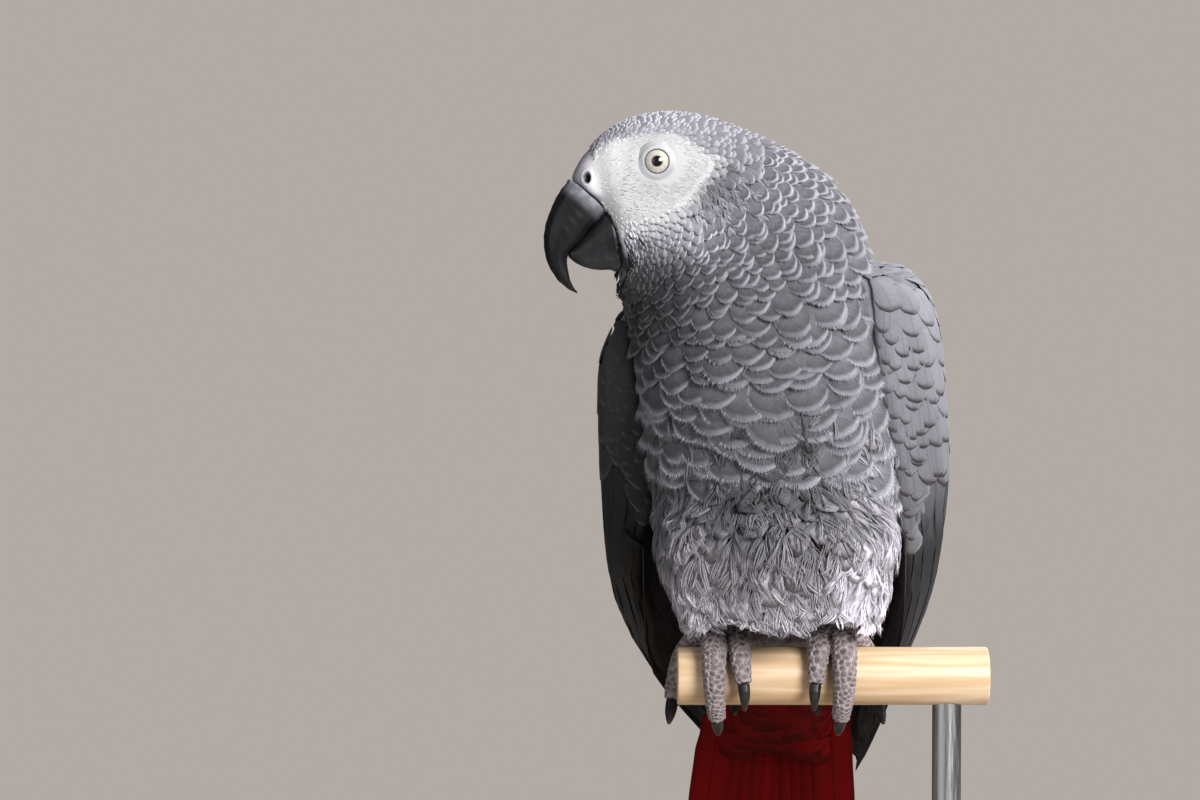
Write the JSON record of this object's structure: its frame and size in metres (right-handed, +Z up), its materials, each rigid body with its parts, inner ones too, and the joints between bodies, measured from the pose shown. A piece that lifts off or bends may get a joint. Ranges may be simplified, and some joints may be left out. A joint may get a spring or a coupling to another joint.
{
  "type": "life-size display model of a grey parrot",
  "caption": "Still, life-size grey parrot with a red tail, gripping a short wooden perch and looking over its shoulder, on a rod and round base.",
  "frame": {"origin": "centre of the stand base's underside, on the floor", "axes": "+Z up; the bird's chest faces -Y, its left is +X, and the perch lies along X"},
  "size_m": [0.19, 0.1962, 0.3197],
  "materials": {
    "head_plumage": "soft matt, small pale feathers",
    "grey_plumage": "soft matt grey feathers with pale edges",
    "flight_feathers": "smooth satin, nearly black",
    "red_plumage": "smooth satin red feathers",
    "bill_horn": "black horn with a powdery grey bloom",
    "claw_horn": "glossy black horn",
    "bare_skin": "powdery white skin",
    "scaled_skin": "dry pale grey scales with darker middles",
    "eye": "wet gloss, cream iris, black pupil",
    "pine": "sanded, lightly oiled pine",
    "stand_wood": "sanded, satin varnish",
    "stand_steel": "brushed"
  },
  "bodies": {
    "root": {"head": "head_plumage", "neck": "grey_plumage", "trunk": "grey_plumage", "rump": "grey_plumage", "tail_coverts": "red_plumage", "tail": "red_plumage", "cere": "bare_skin", "upper_bill": "bill_horn", "lower_bill": "bill_horn", "eye_left": "eye", "eye_right": "eye", "wing_left_coverts": "grey_plumage", "wing_left_secondaries": "grey_plumage", "wing_left_primaries": "flight_feathers", "wing_right_coverts": "grey_plumage", "wing_right_secondaries": "grey_plumage", "wing_right_primaries": "flight_feathers", "thigh_left": "grey_plumage", "thigh_right": "grey_plumage", "tarsus_left": "scaled_skin", "tarsus_right": "scaled_skin", "toe_1_left": "scaled_skin", "toe_2_left": "scaled_skin", "toe_3_left": "scaled_skin", "toe_4_left": "scaled_skin", "toe_1_right": "scaled_skin", "toe_2_right": "scaled_skin", "toe_3_right": "scaled_skin", "toe_4_right": "scaled_skin", "claw_1_left": "claw_horn", "claw_2_left": "claw_horn", "claw_3_left": "claw_horn", "claw_4_left": "claw_horn", "claw_1_right": "claw_horn", "claw_2_right": "claw_horn", "claw_3_right": "claw_horn", "claw_4_right": "claw_horn", "perch": "pine", "stand_base": "stand_wood", "stand_rod": "stand_steel"}
  },
  "joints": []
}
